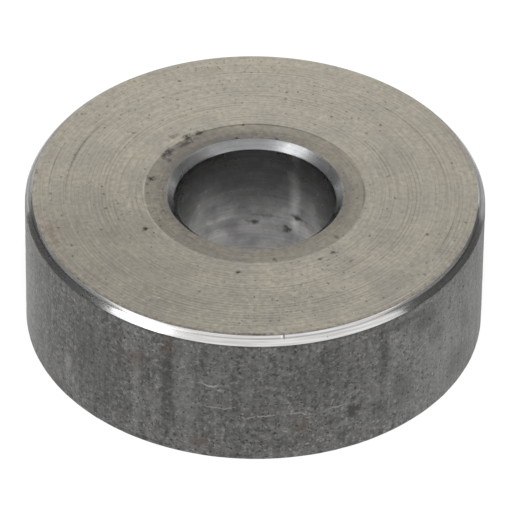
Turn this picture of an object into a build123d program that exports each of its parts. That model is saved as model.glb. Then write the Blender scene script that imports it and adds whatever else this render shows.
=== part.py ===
from build123d import *
import os

# Spacer sleeve: a short, thick-walled collar of mild steel that holds two parts a set distance
# apart on an M10 bolt. It is one piece, turned from round bar: faced, bored and bevelled at the
# upper end, then parted off, so that the lower end only has its burrs broken.
# Frame: the bore's axis is Z, and the origin is at the centre of the lower end. Millimetres.

# Body
outer_diameter = 30.0
length = 10.0
bore_diameter = 10.5  # clearance for an M10 bolt

# Upper outer edge: a narrow facet next to the end face, then the bevel down to the outside
rim_facet_width = 0.18
rim_facet_drop = 0.14
rim_bevel_width = 0.30
rim_bevel_drop = 0.42

# Upper mouth of the bore: a shallow recessed ring in the end face, with a sloping outer side,
# then a bevel at 45 degrees into the bore
recess_diameter = 14.5
recess_depth = 0.04
recess_side_width = 0.06
mouth_bevel = 0.55

# Lower end: both edges have only the burr taken off
burr_break = 0.05


def half_section():
    """Corners of the section on one side of the axis, as (radius, height), going anticlockwise."""
    outer_radius = outer_diameter / 2
    bore_radius = bore_diameter / 2
    facet_foot_radius = outer_radius - rim_bevel_width
    facet_foot_height = length - rim_facet_drop
    recess_radius = recess_diameter / 2
    recess_height = length - recess_depth
    return [
        (bore_radius + burr_break, 0),
        (outer_radius - burr_break, 0),
        (outer_radius, burr_break),
        (outer_radius, facet_foot_height - rim_bevel_drop),
        (facet_foot_radius, facet_foot_height),
        (facet_foot_radius - rim_facet_width, length),
        (recess_radius, length),
        (recess_radius - recess_side_width, recess_height),
        (bore_radius + mouth_bevel, recess_height),
        (bore_radius, recess_height - mouth_bevel),
        (bore_radius, burr_break),
    ]


def spacer_sleeve():
    """The sleeve: its half section turned once round the bore's axis."""
    section = Plane.XZ * make_face(Polyline(*half_section(), close=True))
    return revolve(section, axis=Axis.Z)


os.makedirs("parts", exist_ok=True)
export_step(spacer_sleeve(), "parts/spacer_sleeve.step")
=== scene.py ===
import bpy
import math
import random
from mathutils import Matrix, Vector


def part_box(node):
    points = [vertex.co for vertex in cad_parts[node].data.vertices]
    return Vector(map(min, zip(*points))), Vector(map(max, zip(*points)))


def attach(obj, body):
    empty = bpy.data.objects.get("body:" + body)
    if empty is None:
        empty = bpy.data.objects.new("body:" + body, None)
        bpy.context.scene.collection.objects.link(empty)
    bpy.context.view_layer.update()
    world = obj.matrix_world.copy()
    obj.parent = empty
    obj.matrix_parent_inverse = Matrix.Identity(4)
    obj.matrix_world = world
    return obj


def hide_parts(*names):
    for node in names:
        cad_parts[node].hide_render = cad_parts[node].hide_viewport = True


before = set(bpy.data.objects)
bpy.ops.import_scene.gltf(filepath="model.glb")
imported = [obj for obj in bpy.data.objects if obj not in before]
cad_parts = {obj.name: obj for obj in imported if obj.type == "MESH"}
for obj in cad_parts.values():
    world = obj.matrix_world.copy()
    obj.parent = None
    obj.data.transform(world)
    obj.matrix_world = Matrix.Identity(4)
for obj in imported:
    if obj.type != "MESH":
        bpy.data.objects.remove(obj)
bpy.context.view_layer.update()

# ---------------------------------------------------------------------------------------------
# The sleeve is a short collar of mild steel for an M10 bolt, one piece cut from round bar and
# turned: faced at a coarse feed, recessed round the bore, bored and bevelled. Its section is drawn
# corner by corner and turned about the bore's axis, then the edges are softened.

mm = 0.001
high_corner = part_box("spacer_sleeve")[1]
outer_radius = high_corner.x
length = high_corner.z
bore_radius = 5.25 * mm
burr_break = 0.05 * mm
mouth_bevel = 0.55 * mm
recess_radius = 7.25 * mm
recess_depth = 0.04 * mm
recess_side_width = 0.06 * mm
rim_facet_width = 0.18 * mm
rim_facet_drop = 0.14 * mm
rim_bevel_width = 0.30 * mm
rim_bevel_drop = 0.42 * mm
feed = 0.25 * mm  # how far the facing tool moves in each turn
round_steps = 256
hair = 0.001 * mm  # closer than this is the same place

mouth_radius = bore_radius + mouth_bevel
recess_height = length - recess_depth
bore_top = recess_height - mouth_bevel
ridge_radius = outer_radius - rim_bevel_width
ridge_height = length - rim_facet_drop
face_radius = ridge_radius - rim_facet_width
wall_top = ridge_height - rim_bevel_drop
rings = round((face_radius - recess_radius) / feed)
ring_pitch = (face_radius - recess_radius) / rings

bpy.ops.object.select_all(action="DESELECT")
bpy.ops.mesh.primitive_plane_add(size=mm)
sleeve = bpy.context.object
sleeve.name = "turned_sleeve"
bpy.ops.object.mode_set(mode="EDIT")
bpy.ops.mesh.merge(type="CENTER")
bpy.ops.transform.translate(value=(bore_radius + burr_break, 0, 0))
pencil = [bore_radius + burr_break, 0]


def draw_to(radius, height, steps=1):
    """Draws a straight stretch of the section from the pencil to that radius and height."""
    step = ((radius - pencil[0]) / steps, 0, (height - pencil[1]) / steps)
    for _ in range(steps):
        bpy.ops.mesh.extrude_region_move(TRANSFORM_OT_translate={"value": step})
    pencil[:] = radius, height


chatter = random.Random(30)


def draw_rings(radius, count, depth):
    """Draws a level faced stretch: shallow hollows, one for each turn, with sharp crests between."""
    start, height = pencil
    cuts = 6
    for ring in range(count):
        bite = depth * chatter.uniform(0.4, 1.4)
        for cut in range(1, cuts + 1):
            hollow = 4 * (cut / cuts) * (1 - cut / cuts) * bite
            draw_to(start + (radius - start) * (ring + cut / cuts) / count, height - hollow)


draw_to(outer_radius - burr_break, 0, steps=20)
draw_to(outer_radius, burr_break)
draw_to(outer_radius, wall_top, steps=54)
draw_to(ridge_radius, ridge_height, steps=3)
draw_to(face_radius, length, steps=2)
draw_rings(recess_radius, rings, depth=0.007 * mm)
draw_to(recess_radius - recess_side_width, recess_height, steps=2)
draw_rings(mouth_radius, 6, depth=0.003 * mm)
draw_to(bore_radius, bore_top, steps=4)
draw_to(bore_radius, burr_break, steps=36)
draw_to(bore_radius + burr_break, 0)

bpy.ops.mesh.select_all(action="SELECT")
bpy.ops.mesh.remove_doubles(threshold=hair)
bpy.ops.object.mode_set(mode="OBJECT")
bpy.ops.object.modifier_add(type="SCREW")
turning = sleeve.modifiers[-1]
turning.angle = 2 * math.pi
turning.steps = turning.render_steps = round_steps
turning.use_merge_vertices = True
turning.merge_threshold = hair
bpy.ops.object.modifier_apply(modifier=turning.name)


def select_where(wanted):
    """Leaves edit mode open, with just those vertices selected whose place is wanted."""
    bpy.ops.object.mode_set(mode="EDIT")
    bpy.ops.mesh.select_all(action="DESELECT")
    bpy.ops.object.mode_set(mode="OBJECT")
    for vertex in sleeve.data.vertices:
        vertex.select = wanted(vertex.co)
    bpy.ops.object.mode_set(mode="EDIT")


def soften(radius, height, reach):
    """Rounds the sleeve's edge that runs round at that radius and height."""
    edge = Vector((radius, height))
    select_where(lambda at: (Vector((at.xy.length, at.z)) - edge).length < 2 * hair)
    bpy.ops.mesh.bevel(offset=reach, segments=3, affect="EDGES")
    bpy.ops.object.mode_set(mode="OBJECT")


bpy.ops.object.mode_set(mode="EDIT")
bpy.ops.mesh.select_mode(type="VERT")
bpy.ops.mesh.select_all(action="SELECT")
bpy.ops.mesh.normals_make_consistent(inside=False)
bpy.ops.object.mode_set(mode="OBJECT")
soften(outer_radius, wall_top, 0.03 * mm)
soften(ridge_radius, ridge_height, 0.03 * mm)
soften(face_radius, length, 0.02 * mm)
soften(mouth_radius, recess_height, 0.02 * mm)
soften(bore_radius, bore_top, 0.05 * mm)
soften(outer_radius, burr_break, 0.015 * mm)
soften(outer_radius - burr_break, 0, 0.015 * mm)

# A knock has left a small nick across the upper facet.
nick = math.radians(-82.6)
nick_depth = 0.1 * mm
nick_drop = 0.08 * mm


def near_nick(at, degrees):
    """Whether that place lies within so many degrees of the nick."""
    return abs(math.atan2(at.y, at.x) - nick) < math.radians(degrees)


for side in (-0.5, 0, 0.5):
    select_where(lambda at: at.z > wall_top and at.xy.length > face_radius - 0.1 * mm and near_nick(at, 3))
    cut = nick + math.radians(side)
    bpy.ops.mesh.bisect(plane_co=(0, 0, 0), plane_no=(-math.sin(cut), math.cos(cut), 0))
select_where(lambda at: at.z > ridge_height - 0.1 * mm and at.xy.length > face_radius - 0.01 * mm
             and near_nick(at, 0.1))
bpy.ops.transform.translate(value=(-nick_depth * math.cos(nick), -nick_depth * math.sin(nick), -nick_drop))
bpy.ops.object.mode_set(mode="OBJECT")

# Where the recess was cut, the tool has torn a few hollows out of the face.
for angle, radius, width in (
    (128, 7.15, 0.35), (146, 7.05, 0.3), (122, 7.25, 0.2), (169, 6.95, 0.25), (-151, 8.05, 0.2),
):
    turned = math.radians(angle)
    centre = Vector((radius * mm * math.cos(turned), radius * mm * math.sin(turned), recess_height))
    select_where(lambda at: (at - centre).length < width * mm)
    bpy.ops.transform.translate(value=(0, 0, -0.02 * mm))
    bpy.ops.object.mode_set(mode="OBJECT")

# The outside and its lower edge keep the uneven skin of the drawn bar. The turned surfaces are true.
skin_relief = 0.03 * mm
outside = []
for vertex in sleeve.data.vertices:
    if vertex.co.xy.length > outer_radius - 0.06 * mm and vertex.co.z < wall_top:
        outside.append(vertex.index)
wall = sleeve.vertex_groups.new(name="bar_skin")
wall.add(outside, 1, "ADD")
lumps = bpy.data.textures.new("bar_skin_lumps", "CLOUDS")
lumps.noise_scale = 0.7 * mm
lumps.noise_depth = 3
bpy.ops.object.modifier_add(type="DISPLACE")
rolling = sleeve.modifiers[-1]
rolling.texture = lumps
rolling.vertex_group = wall.name
rolling.strength = skin_relief
rolling.mid_level = 0.6
bpy.ops.object.modifier_apply(modifier=rolling.name)

bpy.ops.object.shade_smooth()

# ---------------------------------------------------------------------------------------------
# The finishes. Bare mild steel all over, told apart only by how each surface was made.


def colour(code):
    """A colour written as sRGB hex, as the shader's linear red, green, blue and alpha."""
    parts = [int(code[at:at + 2], 16) / 255 for at in (1, 3, 5)]
    return [((p + 0.055) / 1.055) ** 2.4 if p > 0.04045 else p / 12.92 for p in parts] + [1]


def add(material, kind, inputs=None, **settings):
    """Adds a shader node with its settings. An input takes a value or another node's output."""
    made = material.node_tree.nodes.new("ShaderNode" + kind)
    for name, value in settings.items():
        setattr(made, name, value)
    for socket, value in (inputs or {}).items():
        if isinstance(value, bpy.types.NodeSocket):
            material.node_tree.links.new(value, made.inputs[socket])
        else:
            made.inputs[socket].default_value = value
    return made


def reckon(material, how, first, second=0.0):
    """One sum: the Math node of that name."""
    return add(material, "Math", {0: first, 1: second}, operation=how).outputs[0]


def reach(material, value, start, end, low=0.0, high=1.0):
    """Turns the span from start to end into the span from low to high, and holds it there."""
    spans = {"Value": value, "From Min": start, "From Max": end, "To Min": low, "To Max": high}
    return add(material, "MapRange", spans).outputs[0]


def blend(material, share, under, over, how="MIX"):
    """Lays one colour over another by that share."""
    return add(material, "MixRGB", {0: share, 1: under, 2: over}, blend_type=how).outputs[0]


def grain(material, where, scale, detail=4, start=0.35, end=0.65):
    """Uneven grain from 0 to 1, with about that many patches to the millimetre."""
    settings = {"Vector": where, "Scale": scale, "Detail": detail, "Roughness": 0.6}
    return reach(material, add(material, "TexNoise", settings).outputs[0], start, end)


def pores(material, flat, per_mm, radius, open_share):
    """Small pores up to that radius in mm, on a flat lattice of which that share is open."""
    cells = add(material, "TexVoronoi", {"Vector": flat, "Scale": per_mm}, voronoi_dimensions="2D")
    lots = add(material, "SeparateColor", {0: cells.outputs["Color"]}).outputs
    size = reach(material, lots[1], 0, 1, 0.45 * radius * per_mm, radius * per_mm)
    torn = grain(material, flat, 9.0, start=0.3, end=0.7)
    off = reckon(material, "ADD", reckon(material, "DIVIDE", cells.outputs["Distance"], size), torn)
    hole = reach(material, off, 0.7, 1.4, 1, 0)
    hole = reckon(material, "MULTIPLY", hole, reach(material, lots[2], 0, 1, 0.25, 1.0))
    return reckon(material, "MULTIPLY", hole, reckon(material, "LESS_THAN", lots[0], open_share))


def marks(material, spot, ragged, places):
    """Soft marks, each an angle, a radius or height, half its size both ways, and a strength."""
    mask = 0.0
    for angle, level, half_round, half_level, strength in places:
        off = add(material, "VectorMath", {0: spot, 1: (angle, level, 0)}, operation="SUBTRACT").outputs[0]
        half_turn = {0: off, 1: (180,) * 3, 2: (-180,) * 3}
        off = add(material, "VectorMath", half_turn, operation="WRAP").outputs[0]
        shrink = (1 / half_round, 1 / half_level, 0)
        off = add(material, "VectorMath", {0: off, 1: shrink}, operation="MULTIPLY").outputs[0]
        off = add(material, "VectorMath", {0: off}, operation="LENGTH").outputs["Value"]
        off = reckon(material, "ADD", off, ragged)
        mask = reckon(material, "MAXIMUM", mask, reach(material, off, 0.3, 1.3, strength, 0))
    return mask


class Steel:
    """A bare steel finish in the sleeve's next slot. Its places are in mm and degrees."""

    def __init__(self, name):
        self.made = bpy.data.materials.new(name)
        self.made.use_nodes = True
        sleeve.data.materials.append(self.made)
        self.shader = self.made.node_tree.nodes["Principled BSDF"]
        self.shader.inputs["Metallic"].default_value = 1
        self.shade = colour("#FFFFFF")
        place = add(self.made, "TexCoord").outputs["Object"]
        self.place = self.vector("MULTIPLY", place, (1 / mm,) * 3)
        level = self.vector("MULTIPLY", self.place, (1, 1, 0))
        self.spoke = self.vector("NORMALIZE", level)
        x, y, self.height = add(self.made, "SeparateXYZ", {0: self.place}).outputs
        self.radius = add(self.made, "VectorMath", {0: level}, operation="LENGTH").outputs["Value"]
        self.angle = reckon(self.made, "DEGREES", reckon(self.made, "ARCTAN2", y, x))

    def vector(self, how, first, second=(0, 0, 0)):
        """One sum of vectors: the Vector Math node of that name."""
        return add(self.made, "VectorMath", {0: first, 1: second}, operation=how).outputs[0]

    def stretched(self, value, round_scale, across_scale):
        """A place for grain that runs round the sleeve slowly and along the given value quickly."""
        across = reckon(self.made, "MULTIPLY", value, across_scale)
        across = add(self.made, "CombineXYZ", {2: across}).outputs[0]
        return self.vector("ADD", self.vector("MULTIPLY", self.spoke, (round_scale, round_scale, 0)), across)

    def spot(self, value):
        """Angle and radius or height as a flat place, for marks."""
        return add(self.made, "CombineXYZ", {0: self.angle, 1: value}).outputs[0]

    def base(self, mask, first, second):
        """Starts the colour from two, the second where the mask is 1."""
        self.shade = blend(self.made, mask, colour(first), colour(second))

    def lay(self, mask, over, share=1.0, how="MIX"):
        """Lays a colour over what is there, as far as the mask and that share of it say."""
        mask = reckon(self.made, "MULTIPLY", mask, share)
        self.shade = blend(self.made, mask, self.shade, colour(over), how)

    def join(self, socket, output):
        """Links an output to the shader's socket of that name."""
        self.made.node_tree.links.new(output, self.shader.inputs[socket])

    def relief(self, height, depth):
        """A fine relief that geometry would be too coarse for, its depth in metres."""
        bump = add(self.made, "Bump", {"Height": height, "Distance": depth, "Strength": 1.0})
        self.join("Normal", bump.outputs[0])


# Facing at a coarse feed leaves fine rings, some dark and some bright. Bare steel greys where oil dried.
# The face carries painted shade at its left front and painted light at its back and right. Small pits and
# smears hold dirt.
steel = Steel("faced_mild_steel")
faced = steel.made
ragged = reckon(faced, "SUBTRACT", grain(faced, steel.place, 3.0, detail=6, start=0.3, end=0.7), 0.5)
ragged = reckon(faced, "MULTIPLY", ragged, 1.6)
broad = grain(faced, steel.place, 0.4, detail=3)
steel.base(broad, "#BBB5A6", "#A9A49B")
# Painted shade: the face is darkened over its left front.
left_painted_shade = marks(faced, steel.spot(steel.radius), ragged, [(-132, 11, 55, 6, 0.45)])
steel.lay(left_painted_shade, "#8C877D")
# Painted light: the face is lightened at its back and at its right.
back_and_right_painted_light = marks(faced, steel.spot(steel.radius), ragged, [
    (95, 12.5, 90, 4.5, 0.45), (5, 10.5, 40, 5, 0.3),
])
steel.lay(back_and_right_painted_light, "#BCB6A8")
fine = grain(faced, steel.place, 3.1, detail=9)
steel.lay(fine, "#8F887D", 0.42)
thin = grain(faced, steel.stretched(steel.radius, 0.9, 9.0), 1.0, detail=4, start=0.5, end=0.75)
steel.lay(thin, "#8B8378", 0.35)
turn = reckon(faced, "DIVIDE", reckon(faced, "SUBTRACT", face_radius / mm, steel.radius), ring_pitch / mm)
lines = reach(faced, reckon(faced, "PINGPONG", turn, 0.5), 0.2, 0.0)
worn = grain(faced, steel.stretched(steel.radius, 1.3, 1.2), 1.0, detail=5, start=0.42, end=0.72)
lines = reckon(faced, "MULTIPLY", lines, worn)
steel.lay(lines, "#7E776D", 0.6)
bands = grain(faced, steel.stretched(steel.radius, 1.4, 6.0), 1.0, detail=3, start=0.52, end=0.78)
steel.lay(bands, "#7C756B", 0.4)
glints = grain(faced, steel.stretched(steel.radius, 2.2, 6.5), 1.0, detail=3, start=0.56, end=0.8)
steel.lay(glints, "#C9C2B3", 0.4)
pale = grain(faced, steel.place, 1.8, detail=6, start=0.57, end=0.72)
pale = reckon(faced, "MULTIPLY", pale, grain(faced, steel.place, 0.16, detail=2, start=0.45, end=0.6))
steel.lay(pale, "#CCC6AF", 0.45)
# The recess is painted darker than the face round it, as shade, and grime darkens it most next to the bore's
# mouth.
inside = reach(faced, steel.radius, recess_radius / mm - 0.02, recess_radius / mm - 0.08)
steel.lay(inside, "#DFDEDD", how="MULTIPLY")
dull = marks(faced, steel.spot(steel.radius), reckon(faced, "MULTIPLY", ragged, 0.5), [
    (120, 5.9, 70, 0.8, 0.7), (130, 6.6, 30, 0.8, 0.5), (-20, 5.9, 60, 0.5, 0.4),
    (-155, 5.9, 40, 0.5, 0.4),
])
steel.lay(reckon(faced, "MULTIPLY", dull, inside), "#676460")
# Bright places are chipped, and the recess's edge carries a painted highlight. Dark ones are scored, pitted
# or torn and hold dirt.
# Painted highlight: a bright line along the recess's edge at the left.
rubbed_and_highlight = marks(faced, steel.spot(steel.radius), reckon(faced, "MULTIPLY", ragged, 0.3), [
    (-155, 7.3, 22, 0.05, 0.3), (176, 7.3, 12, 0.05, 0.35),
])
steel.lay(rubbed_and_highlight, "#D6CFC0")
chips = marks(faced, steel.spot(steel.radius), ragged, [
    (-17, 11.3, 3.2, 0.5, 0.45), (-12, 10.4, 4, 0.25, 0.35), (-6, 9.2, 6, 0.15, 0.3),
    (-60, 12.0, 7, 1.3, 0.4), (-72, 11.0, 6, 1.0, 0.3), (160, 8.2, 6, 0.2, 0.3),
    (120, 12.6, 9, 0.9, 0.3), (95, 12.0, 5, 1.2, 0.25),
])
chips = reckon(faced, "MULTIPLY", chips, grain(faced, steel.place, 3.6, detail=6, start=0.5, end=0.7))
steel.lay(chips, "#D3CDBC")
scored = marks(faced, steel.spot(steel.radius), reckon(faced, "MULTIPLY", ragged, 0.4), [
    (163, 12.35, 20, 0.07, 0.5), (168, 13.45, 13, 0.05, 0.4), (-17, 13.15, 10, 0.06, 0.45),
    (0, 7.1, 14, 0.06, 0.4), (40, 12.45, 22, 0.05, 0.35), (-134, 6.3, 5, 0.05, 0.5),
    (-25, 13.6, 0.2, 0.8, 0.3), (150, 10.1, 14, 0.05, 0.35), (-168, 9.3, 10, 0.05, 0.35),
    (25, 9.0, 14, 0.05, 0.35),
])
# A dark line runs along the face's edge at the front.
edge = marks(faced, steel.spot(steel.radius), ragged, [(-92, 14.45, 75, 0.1, 0.45)])
steel.lay(reckon(faced, "MAXIMUM", scored, edge), "#57514B")
crowded = grain(faced, steel.place, 0.13, detail=1, start=0.35, end=0.65)
pits = reckon(faced, "MAXIMUM", pores(faced, steel.place, 1.1, 0.16, reckon(faced, "MULTIPLY", crowded, 0.6)),
              pores(faced, steel.place, 2.1, 0.1, reckon(faced, "MULTIPLY", crowded, 0.55)))
steel.lay(pits, "#4F4945", 0.8)
smears = marks(faced, steel.spot(steel.radius), ragged, [
    (128, 7.2, 4, 0.32, 0.9), (133, 6.9, 5, 0.25, 0.7), (145, 7.05, 4.5, 0.28, 0.9),
    (121, 7.25, 3, 0.2, 0.8), (169, 6.95, 2.4, 0.24, 1.0), (150, 6.6, 3, 0.2, 0.5),
    (133, 7.9, 4, 0.2, 0.5), (-161, 6.3, 2, 0.15, 0.5), (-40, 6.95, 1.5, 0.2, 0.5),
    (-80, 7.0, 1.2, 0.15, 0.7), (77, 5.85, 1.8, 0.12, 1.0), (103, 5.85, 1.5, 0.12, 1.0),
    (-151, 8.05, 1.4, 0.16, 1.0), (-97, 8.25, 1.1, 0.14, 1.0), (-90, 14.4, 4, 0.08, 0.7),
    (-50, 7.9, 1.8, 0.18, 0.9), (-58, 8.0, 1.3, 0.14, 0.9), (-20, 11.9, 0.7, 0.12, 0.8),
    (-48, 9.3, 1, 0.1, 0.6), (-30, 8.6, 0.9, 0.09, 0.6), (12, 8.9, 1, 0.1, 0.6),
])
smears = reckon(faced, "MULTIPLY", smears, grain(faced, steel.place, 5.0, start=0.2, end=0.5))
steel.lay(smears, "#423E3C")
rust = marks(faced, steel.spot(steel.radius), ragged, [
    (-161, 13.9, 6, 0.35, 0.4), (-140, 13.5, 4, 0.2, 0.25),
])
steel.lay(rust, "#7F6B5E")
steel.join("Base Color", steel.shade)
steel.join("Roughness", reach(faced, fine, 0, 1, 0.36, 0.46))
steel.shader.inputs["Anisotropic"].default_value = 0.5
steel.join("Tangent", add(faced, "Tangent", direction_type="RADIAL", axis="Z").outputs[0])
holes = reckon(faced, "MULTIPLY", reckon(faced, "MAXIMUM", pits, smears), 8)
steel.relief(reckon(faced, "SUBTRACT", fine, holes), 0.001 * mm)

# The bevels are cut last with a keen tool, so they are bright, with fine lines running round.
steel = Steel("bevelled_mild_steel")
bevelled = steel.made
lines = grain(bevelled, steel.stretched(steel.radius, 4.0, 14.0), 1.0, detail=3)
steel.base(lines, "#E4E3E2", "#C0BFBE")
# Painted shade: a grey line along the ridge between the facet and the bevel.
off_ridge = reckon(bevelled, "ABSOLUTE", reckon(bevelled, "SUBTRACT", steel.radius, ridge_radius / mm))
ridge = reach(bevelled, off_ridge, 0.02, 0.06, 1, 0)
steel.lay(ridge, "#7C7B79", 0.45)
specks = pores(bevelled, steel.place, 1.5, 0.08, 0.15)
steel.lay(specks, "#55524F", 0.6)
# Painted shade on one side of the nick and a painted highlight on the other.
nick_painted_shade = marks(bevelled, steel.spot(steel.radius), 0.3, [(math.degrees(nick) + 0.25, 14.6, 0.3, 0.2, 1.0)])
steel.lay(nick_painted_shade, "#2F2D2B")
nick_painted_highlight = marks(bevelled, steel.spot(steel.radius), 0.3, [(math.degrees(nick) - 0.35, 14.62, 0.35, 0.12, 1.0)])
steel.lay(nick_painted_highlight, "#FAFAFA")
steel.join("Base Color", steel.shade)
steel.join("Roughness", reach(bevelled, lines, 0, 1, 0.12, 0.25))

# The mouth's bevel is cut at a slower feed and is duller.
steel = Steel("bevelled_mouth_steel")
mouth = steel.made
lines = grain(mouth, steel.stretched(steel.radius, 4.0, 10.0), 1.0, detail=3)
cloudy = grain(mouth, steel.place, 1.2, detail=5)
steel.base(reckon(mouth, "MULTIPLY", lines, 0.5), "#A0A1A2", "#868687")
steel.lay(cloudy, "#858585", 0.35)
steel.join("Base Color", steel.shade)
steel.join("Roughness", reach(mouth, cloudy, 0, 1, 0.25, 0.33))

# Boring leaves fine rings, lighter rubbed bands and a few dark stains.
steel = Steel("bored_mild_steel")
bored = steel.made
ragged = reckon(bored, "SUBTRACT", grain(bored, steel.place, 2.0, detail=6, start=0.3, end=0.7), 0.5)
lines = grain(bored, steel.stretched(steel.height, 1.5, 5.0), 1.0, detail=5)
cloudy = grain(bored, steel.place, 0.7, detail=6)
steel.base(cloudy, "#9D9C9B", "#7F7E7E")
steel.lay(lines, "#636261", 0.35)
rubbed_and_highlight = marks(bored, steel.spot(steel.height), reckon(bored, "MULTIPLY", ragged, 0.4), [
    (60, 6.3, 4.5, 3.4, 0.5), (61, 7.6, 4.5, 0.7, 0.75), (61, 9.2, 4.5, 0.3, 0.6),
])
steel.lay(rubbed_and_highlight, "#CFCFCE")
stains = marks(bored, steel.spot(steel.height), reckon(bored, "MULTIPLY", ragged, 1.8), [
    (57.5, 4.3, 5, 0.22, 0.9), (65, 3.1, 4, 0.28, 0.95), (90, 3.3, 4.5, 0.22, 0.85),
    (80, 3.9, 12, 0.1, 0.4),
])
steel.lay(stains, "#383736")
steel.join("Base Color", steel.shade)
steel.join("Roughness", reach(bored, cloudy, 0, 1, 0.24, 0.36))

# The outside keeps the dark skin of the drawn bar: mottled, streaked lengthwise, full of fine
# pores, with paler rubbed scratches and a breath of rust.
steel = Steel("drawn_bar_skin")
skin = steel.made
across = reckon(skin, "MULTIPLY", steel.angle, math.radians(outer_radius / mm))
unrolled = add(skin, "CombineXYZ", {0: across, 1: steel.height}).outputs[0]
ragged = reckon(skin, "SUBTRACT", grain(skin, steel.place, 2.4, detail=10, start=0.3, end=0.7), 0.5)
ragged = reckon(skin, "MULTIPLY", ragged, 1.7)
crust = grain(skin, steel.place, 2.6, detail=10, start=0.32, end=0.68)
steel.base(crust, "#3E3E3D", "#878684")
broad = grain(skin, steel.place, 0.4, detail=5)
steel.lay(broad, "#4F4E4D", 0.5)
streaks = grain(skin, steel.stretched(steel.height, 22.0, 0.15), 1.0, detail=5, start=0.4, end=0.7)
steel.lay(streaks, "#8E8D8B", 0.3)
pale = marks(skin, steel.spot(steel.height), ragged, [
    (-36, 4.5, 17, 6.5, 0.45), (-106.5, 5, 2.6, 5, 0.35), (-120, 5.5, 1.2, 4.5, 0.3),
    (-172, 5, 10, 8, 0.5), (-45, 5.5, 3, 1.2, 0.4), (-32, 3.6, 4, 1.0, 0.4), (-26, 7.0, 3, 1.0, 0.35),
])
steel.lay(pale, "#8F8F8D")
flecks = grain(skin, steel.place, 4.5, detail=6, start=0.53, end=0.7)
steel.lay(flecks, "#A9A8A5", 0.55)
# Dark patches, and painted shade in a thin line under the rim along the front.
dark_patches_and_shade = marks(skin, steel.spot(steel.height), ragged, [
    (-111.5, 5.6, 2.0, 4.4, 0.65), (-64, 3.1, 3.0, 0.5, 0.8), (-70, 2.5, 3, 0.35, 0.5),
    (-57, 2.5, 3, 0.8, 0.45), (-56, 6.5, 1.8, 2.2, 0.6), (-103, 2.2, 2.5, 0.6, 0.5),
    (-75, 6.5, 12, 3.0, 0.35), (-133, 5, 12, 4.5, 0.35), (-128, 2.4, 7, 0.8, 0.4),
    (-67, 1.2, 1.8, 0.5, 0.6), (-95, 9.4, 55, 0.14, 0.5), (-84, 1.4, 7, 0.5, 0.4),
    (-93, 0.3, 4, 0.12, 0.7), (-115, 0.3, 8, 0.1, 0.6), (-98, 5, 19, 6, 0.3), (-42, 7.8, 5, 0.9, 0.55),
    (-50, 3.5, 3, 1.5, 0.45), (-28, 2.0, 5, 1.0, 0.4), (-38, 6.0, 3, 0.7, 0.4),
    (-24, 5.0, 3, 1.2, 0.35), (-47, 8.7, 8, 0.35, 0.5),
])
steel.lay(dark_patches_and_shade, "#40403F")
bent = add(skin, "TexNoise", {"Vector": steel.place, "Scale": 0.7, "Detail": 3}).outputs[0]
bent = reckon(skin, "MULTIPLY", reckon(skin, "SUBTRACT", bent, 0.5), 1.2)
bent = reckon(skin, "ADD", steel.height, bent)
scratches = marks(skin, steel.spot(bent), reckon(skin, "MULTIPLY", ragged, 0.7), [
    (-101, 6.05, 3.5, 0.06, 0.5), (-97.5, 5.75, 1.2, 0.06, 0.3), (-88, 3.5, 5.5, 0.06, 0.38),
    (-143, 3.0, 1.4, 1.2, 0.3), (-141, 1.8, 0.8, 0.8, 0.3), (-78, 3.6, 3, 0.06, 0.45),
    (-69, 3.7, 4, 0.06, 0.4), (-98, 4.3, 5, 0.06, 0.3),
])
steel.lay(scratches, "#B5B4B1")
rust = marks(skin, steel.spot(steel.height), ragged, [
    (-111, 8.4, 1.8, 0.6, 0.5), (-78, 2.6, 1.8, 0.8, 0.5), (-103, 1.2, 2.4, 0.6, 0.5),
    (-120, 6.8, 2.4, 1.0, 0.4),
])
steel.lay(rust, "#5E5047")
crowded = grain(skin, steel.place, 0.25, detail=2, start=0.35, end=0.6)
pitted = reckon(skin, "MAXIMUM", pores(skin, unrolled, 2.2, 0.15, reckon(skin, "MULTIPLY", crowded, 0.75)),
                pores(skin, unrolled, 4.1, 0.1, 0.45))
steel.lay(pitted, "#2B2B2A", 0.9)
steel.join("Base Color", steel.shade)
steel.join("Roughness", reach(skin, crust, 0, 1, 0.42, 0.6))
steel.relief(reckon(skin, "SUBTRACT", crust, pitted), 0.012 * mm)

# The lower end is as the parting tool leaves it, with a coarser ring pattern.
steel = Steel("parted_mild_steel")
parted = steel.made
lines = grain(parted, steel.stretched(steel.radius, 2.0, 4.0), 1.0, detail=3)
steel.base(lines, "#A29C91", "#8A857B")
steel.join("Base Color", steel.shade)
steel.join("Roughness", reach(parted, lines, 0, 1, 0.4, 0.5))
steel.relief(lines, 0.004 * mm)

finishes = [material.name for material in sleeve.data.materials]
for face in sleeve.data.polygons:
    radius = math.hypot(face.center.x, face.center.y)
    height = face.center.z
    if height < burr_break:
        finish = "parted_mild_steel"
    elif radius > outer_radius - skin_relief and height < wall_top + 0.02 * mm:
        finish = "drawn_bar_skin"
    elif radius > face_radius:
        finish = "bevelled_mild_steel"
    elif radius > mouth_radius:
        finish = "faced_mild_steel"
    elif height > bore_top:
        finish = "bevelled_mouth_steel"
    else:
        finish = "bored_mild_steel"
    face.material_index = finishes.index(finish)

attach(sleeve, "root")
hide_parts("spacer_sleeve")

# ---------------------------------------------------------------------------------------------
# The studio: a white table, a white surround and a soft lamp at the left front. A smaller lamp
# lights the table under the bore. Grey cards round the sleeve, which only its steel reflects, give
# the bright edge and the bore's mouth their darker stretches.

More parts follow.
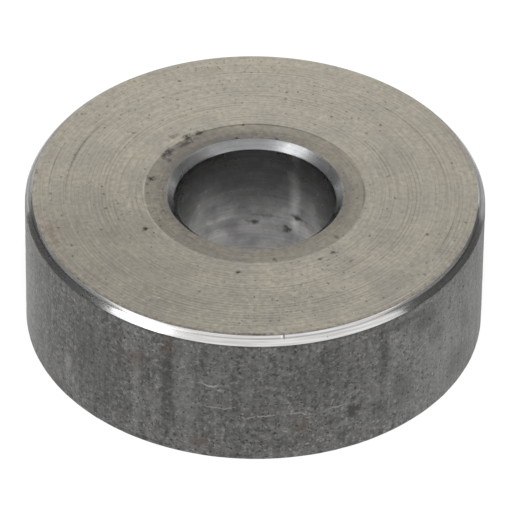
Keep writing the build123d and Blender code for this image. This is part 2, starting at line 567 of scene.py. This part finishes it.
bpy.ops.mesh.primitive_plane_add(size=1.2, location=(0, 0, -0.01 * mm))
table = bpy.context.object
table.name = "table_top"
bpy.ops.object.mode_set(mode="EDIT")
bpy.ops.mesh.subdivide(number_cuts=3)
bpy.ops.object.mode_set(mode="OBJECT")
bpy.ops.object.transform_apply(location=True)
paper = bpy.data.materials.new("white_paper")
paper.use_nodes = True
table.data.materials.append(paper)
paper_shader = paper.node_tree.nodes["Principled BSDF"]
paper_shader.inputs["Base Color"].default_value = (0.9, 0.9, 0.9, 1)
paper_shader.inputs["Roughness"].default_value = 0.9
ray = add(paper, "LightPath").outputs
seen = reckon(paper, "MAXIMUM", ray["Is Camera Ray"], ray["Is Glossy Ray"])
seen = reckon(paper, "MAXIMUM", seen, ray["Is Transmission Ray"])
spread = add(paper, "TexCoord").outputs["Object"]
out = add(paper, "VectorMath", {0: spread}, operation="LENGTH").outputs["Value"]
# Only the open paper glows, not the paper under the bore.
open_paper = reach(paper, out, bore_radius, outer_radius)
share = reckon(paper, "MULTIPLY", seen, reckon(paper, "MULTIPLY", open_paper, 0.85))
glow = add(paper, "Emission", {"Color": (1, 1, 1, 1), "Strength": 1}).outputs[0]
mixed = add(paper, "MixShader", {0: share, 1: paper_shader.outputs[0], 2: glow})
paper.node_tree.links.new(mixed.outputs[0], paper.node_tree.nodes["Material Output"].inputs["Surface"])

world = bpy.data.worlds.new("white_surround")
bpy.context.scene.world = world
world.use_nodes = True
ray = add(world, "LightPath").outputs
seen = reckon(world, "MAXIMUM", ray["Is Camera Ray"], ray["Is Glossy Ray"])
seen = reckon(world, "MAXIMUM", seen, ray["Is Transmission Ray"])
surround = world.node_tree.nodes["Background"]
surround.inputs["Color"].default_value = (1, 1, 1, 1)
world.node_tree.links.new(reach(world, seen, 0, 1, 0.75, 1.0), surround.inputs["Strength"])

middle = Vector((0, 0, length / 2))


def place(distance, azimuth, elevation):
    """A point seen from the sleeve's middle in that direction: azimuth 0 is +X, 90 is +Y."""
    level = distance * math.cos(math.radians(elevation))
    turned = math.radians(azimuth)
    rise = distance * math.sin(math.radians(elevation))
    return middle + Vector((level * math.cos(turned), level * math.sin(turned), rise))


def aim(thing):
    """Turns a lamp, card or camera to face the sleeve's middle."""
    thing.rotation_euler = (middle - thing.location).to_track_quat("-Z", "Y").to_euler()


bpy.ops.object.light_add(type="AREA", location=place(0.5, -146, 37))
softbox = bpy.context.object
softbox.name = "softbox"
softbox.data.shape = "RECTANGLE"
softbox.data.size = 0.24
softbox.data.size_y = 0.32
softbox.data.energy = 0.6
aim(softbox)

bpy.ops.object.light_add(type="AREA", location=place(0.5, -88, 61))
top_lamp = bpy.context.object
top_lamp.name = "top_lamp"
top_lamp.data.size = 0.06
top_lamp.data.energy = 2.1
top_lamp.visible_glossy = False
aim(top_lamp)

for name, distance, azimuth, elevation, width, height, shade in (
    ("card_left_low", 0.05, 174, 8.6, 0.066, 0.027, "#525252"),
    ("card_right_low", 0.05, 6, 8.6, 0.060, 0.027, "#4A4A4A"),
    ("card_left_high", 0.05, 174, 35, 0.066, 0.020, "#8A8A8A"),
    ("card_right_high", 0.05, 6, 35, 0.060, 0.020, "#808080"),
    ("card_back_left", 0.03, 125, 2.9, 0.036, 0.015, "#A8A8A8"),
    ("card_back_right", 0.03, 55, 2.9, 0.036, 0.015, "#9C9C9C"),
    ("card_above", 0.05, -90, 89.9, 0.040, 0.036, "#303030"),
):
    bpy.ops.mesh.primitive_plane_add(size=1, location=place(distance, azimuth, elevation))
    card = bpy.context.object
    card.name = name
    card.dimensions = (width, height, 0)
    aim(card)
    bpy.ops.object.transform_apply(location=True, rotation=True, scale=True)
    card_paper = bpy.data.materials.new(name + "_paper")
    card_paper.use_nodes = True
    card_paper.node_tree.nodes["Principled BSDF"].inputs["Base Color"].default_value = colour(shade)
    card_paper.node_tree.nodes["Principled BSDF"].inputs["Roughness"].default_value = 0.9
    card.data.materials.append(card_paper)
    card.visible_camera = False
    card.visible_diffuse = False
    card.visible_shadow = False

bpy.ops.object.camera_add(location=place(0.45, -90, 39.23))
camera = bpy.context.object
camera.name = "camera"
camera.data.lens = 484.5
camera.data.sensor_width = 36
aim(camera)
camera.rotation_euler.rotate_axis("Z", math.radians(0.741))
camera.data.shift_x = 0.00106
camera.data.shift_y = -0.00618
bpy.context.scene.camera = camera
bpy.context.scene.view_settings.view_transform = "Standard"
